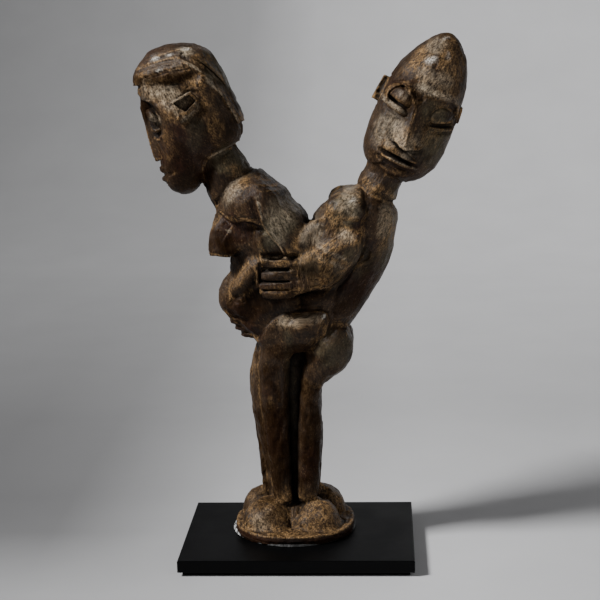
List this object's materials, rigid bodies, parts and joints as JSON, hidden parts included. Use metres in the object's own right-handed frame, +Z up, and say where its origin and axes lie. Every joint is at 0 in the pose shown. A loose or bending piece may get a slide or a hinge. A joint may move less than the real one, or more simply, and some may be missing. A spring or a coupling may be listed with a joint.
{
  "type": "carved wooden couple figure on a plinth",
  "caption": "Two leaning figures carved from one forked branch on a round wooden foot, held by a bead of wax on a flat dark rectangular plinth.",
  "frame": {"origin": "centre of the plinth's underside", "axes": "+Z up, +X to the right of a viewer who faces the man's face, +Y away from that viewer"},
  "size_m": [0.181, 0.091, 0.2891],
  "materials": {
    "carved_wood": "dark hand-rubbed patina with worn, earthy edges, satin",
    "plinth_black": "black satin lacquer",
    "wax": "clear greyish mounting wax, glossy"
  },
  "bodies": {
    "root": {"figure": "carved_wood", "mounting_wax": "wax", "plinth": "plinth_black"}
  },
  "joints": []
}
